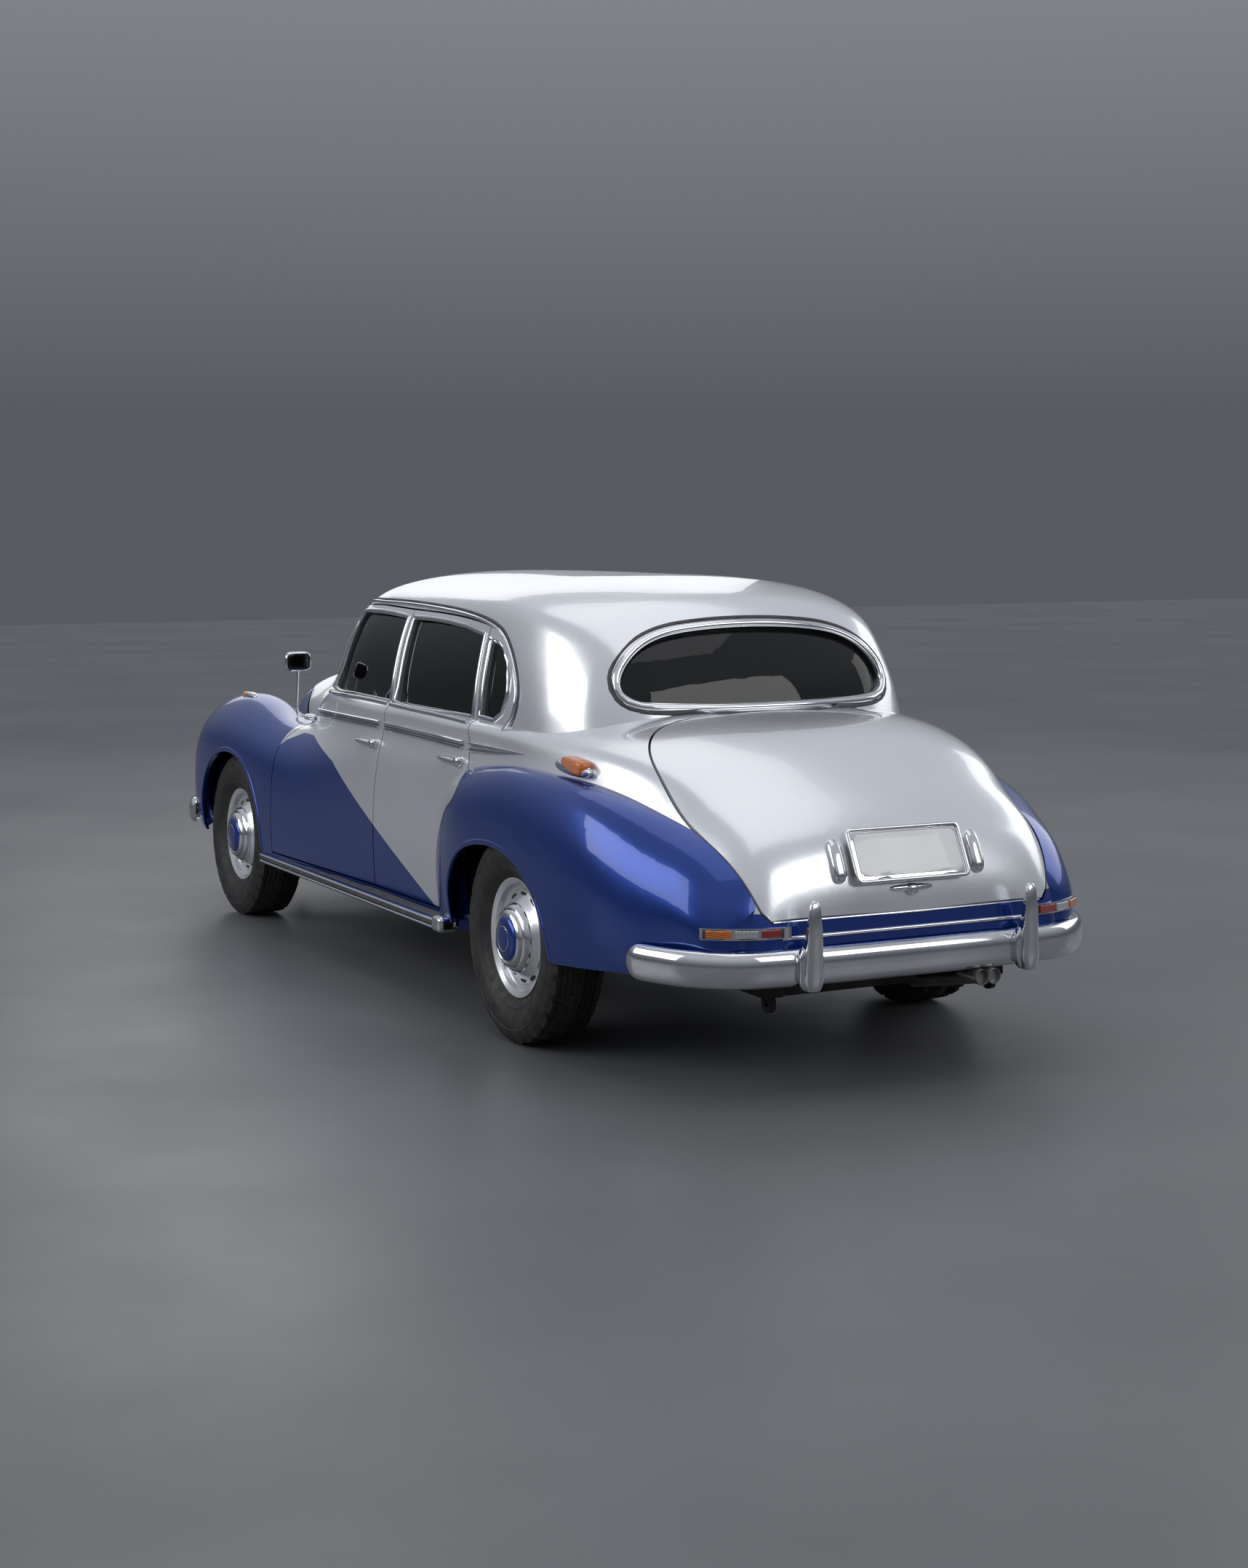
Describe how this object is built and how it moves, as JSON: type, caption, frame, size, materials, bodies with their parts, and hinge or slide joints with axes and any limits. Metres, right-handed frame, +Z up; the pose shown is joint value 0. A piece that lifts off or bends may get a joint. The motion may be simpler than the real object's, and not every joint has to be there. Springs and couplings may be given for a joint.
{
  "type": "1950s saloon car",
  "caption": "Large 1950s four-door saloon car in two-tone paint, with opening doors, bonnet and boot lid, steering and turning wheels.",
  "frame": {"origin": "on the ground under the car, on its centre plane, midway between the ends of the bumpers", "axes": "+Z up, +Y towards the rear of the car, +X towards its left side"},
  "size_m": [1.836, 5.18, 1.6012],
  "materials": {
    "silver_paint": "metallic silver lacquer",
    "blue_paint": "metallic blue lacquer",
    "chrome_trim": "bright plated",
    "dark_glass": "tinted",
    "black_metal": "satin underbody paint",
    "bare_iron": "machined and cast",
    "tyre_rubber": "black rubber",
    "wheel_paint": "silver lacquer",
    "lamp_lens": "moulded amber, red and clear lens",
    "seat_leather": "dark hide",
    "dash_wood": "polished veneer",
    "wheel_rim_plastic": "pale moulded rim",
    "grey_metal": "aluminised steel"
  },
  "bodies": {
    "car_body": {"body_shell": "silver_paint", "roof_shell": "silver_paint", "front_wings": "blue_paint", "rear_wings": "blue_paint", "fixed_glass": "dark_glass", "chassis_frame": "black_metal", "floor_pan": "black_metal", "inner_wings": "black_metal", "front_suspension": "black_metal", "rear_axle": "bare_iron", "rear_bumper": "chrome_trim", "front_bumper": "chrome_trim", "running_boards": "blue_paint", "front_lamps": "chrome_trim", "rear_lamps": "lamp_lens", "mirrors": "chrome_trim", "radiator_grille": "chrome_trim", "dashboard": "dash_wood", "engine_block": "bare_iron", "fuel_tank": "black_metal", "front_seat": "seat_leather", "rear_seat": "seat_leather", "exhaust": "grey_metal"},
    "bonnet": {"bonnet": "silver_paint"},
    "boot_lid": {"boot_lid": "silver_paint", "boot_fittings": "chrome_trim"},
    "steering_wheel": {"steering_wheel": "wheel_rim_plastic"},
    "knuckle_left": {"knuckle_left": "bare_iron"},
    "knuckle_right": {"knuckle_right": "bare_iron"},
    "door_front_left": {"door_front_left": "silver_paint", "door_glass_front_left": "dark_glass"},
    "wheel_front_left": {"tyre_front_left": "tyre_rubber", "wheel_front_left": "wheel_paint"},
    "door_front_right": {"door_front_right": "silver_paint", "door_glass_front_right": "dark_glass"},
    "wheel_front_right": {"tyre_front_right": "tyre_rubber", "wheel_front_right": "wheel_paint"},
    "door_rear_left": {"door_rear_left": "silver_paint", "door_glass_rear_left": "dark_glass"},
    "wheel_rear_left": {"tyre_rear_left": "tyre_rubber", "wheel_rear_left": "wheel_paint"},
    "door_rear_right": {"door_rear_right": "silver_paint", "door_glass_rear_right": "dark_glass"},
    "wheel_rear_right": {"tyre_rear_right": "tyre_rubber", "wheel_rear_right": "wheel_paint"}
  },
  "joints": [
    {"name": "door_front_left_hinge", "type": "hinge", "parent": "car_body", "child": "door_front_left", "pos_m": [0.881, -1.1735, 0.64], "axis": [0.0797, 0, -0.9968], "range_deg": [0, 65]},
    {"name": "door_front_right_hinge", "type": "hinge", "parent": "car_body", "child": "door_front_right", "pos_m": [-0.881, -1.1735, 0.64], "axis": [0.0797, 0, 0.9968], "range_deg": [0, 65]},
    {"name": "door_rear_left_hinge", "type": "hinge", "parent": "car_body", "child": "door_rear_left", "pos_m": [0.846, -0.0715, 0.7], "axis": [0.1191, 0, -0.9929], "range_deg": [0, 65]},
    {"name": "door_rear_right_hinge", "type": "hinge", "parent": "car_body", "child": "door_rear_right", "pos_m": [-0.846, -0.0715, 0.7], "axis": [0.1191, 0, 0.9929], "range_deg": [0, 65]},
    {"name": "bonnet_hinge", "type": "hinge", "parent": "car_body", "child": "bonnet", "pos_m": [0, -1.1395, 1.163], "axis": [-1, 0, 0], "range_deg": [0, 50]},
    {"name": "boot_lid_hinge", "type": "hinge", "parent": "car_body", "child": "boot_lid", "pos_m": [0, 1.617, 1.146], "axis": [1, 0, 0], "range_deg": [0, 55]},
    {"name": "steering_left", "type": "hinge", "parent": "car_body", "child": "knuckle_left", "pos_m": [0.649, -1.722, 0.3665], "axis": [0, 0, 1], "range_deg": [-30, 30]},
    {"name": "steering_right", "type": "hinge", "parent": "car_body", "child": "knuckle_right", "pos_m": [-0.649, -1.722, 0.3665], "axis": [0, 0, 1], "range_deg": [-30, 30]},
    {"name": "steering_wheel_turn", "type": "hinge", "parent": "car_body", "child": "steering_wheel", "pos_m": [0.3676, -0.6273, 0.944], "axis": [0, -0.866, -0.5], "range_deg": [-540, 540]},
    {"name": "wheel_front_left_spin", "type": "hinge", "parent": "knuckle_left", "child": "wheel_front_left", "pos_m": [0.754, -1.722, 0.3665], "axis": [1, 0, 0], "continuous": true},
    {"name": "wheel_front_right_spin", "type": "hinge", "parent": "knuckle_right", "child": "wheel_front_right", "pos_m": [-0.754, -1.722, 0.3665], "axis": [1, 0, 0], "continuous": true},
    {"name": "wheel_rear_left_spin", "type": "hinge", "parent": "car_body", "child": "wheel_rear_left", "pos_m": [0.786, 1.328, 0.3665], "axis": [1, 0, 0], "continuous": true},
    {"name": "wheel_rear_right_spin", "type": "hinge", "parent": "car_body", "child": "wheel_rear_right", "pos_m": [-0.786, 1.328, 0.3665], "axis": [1, 0, 0], "continuous": true}
  ],
  "couplings": [
    {"joint": "steering_right", "follows": "steering_left", "ratio": 1},
    {"joint": "steering_wheel_turn", "follows": "steering_left", "ratio": -18}
  ]
}
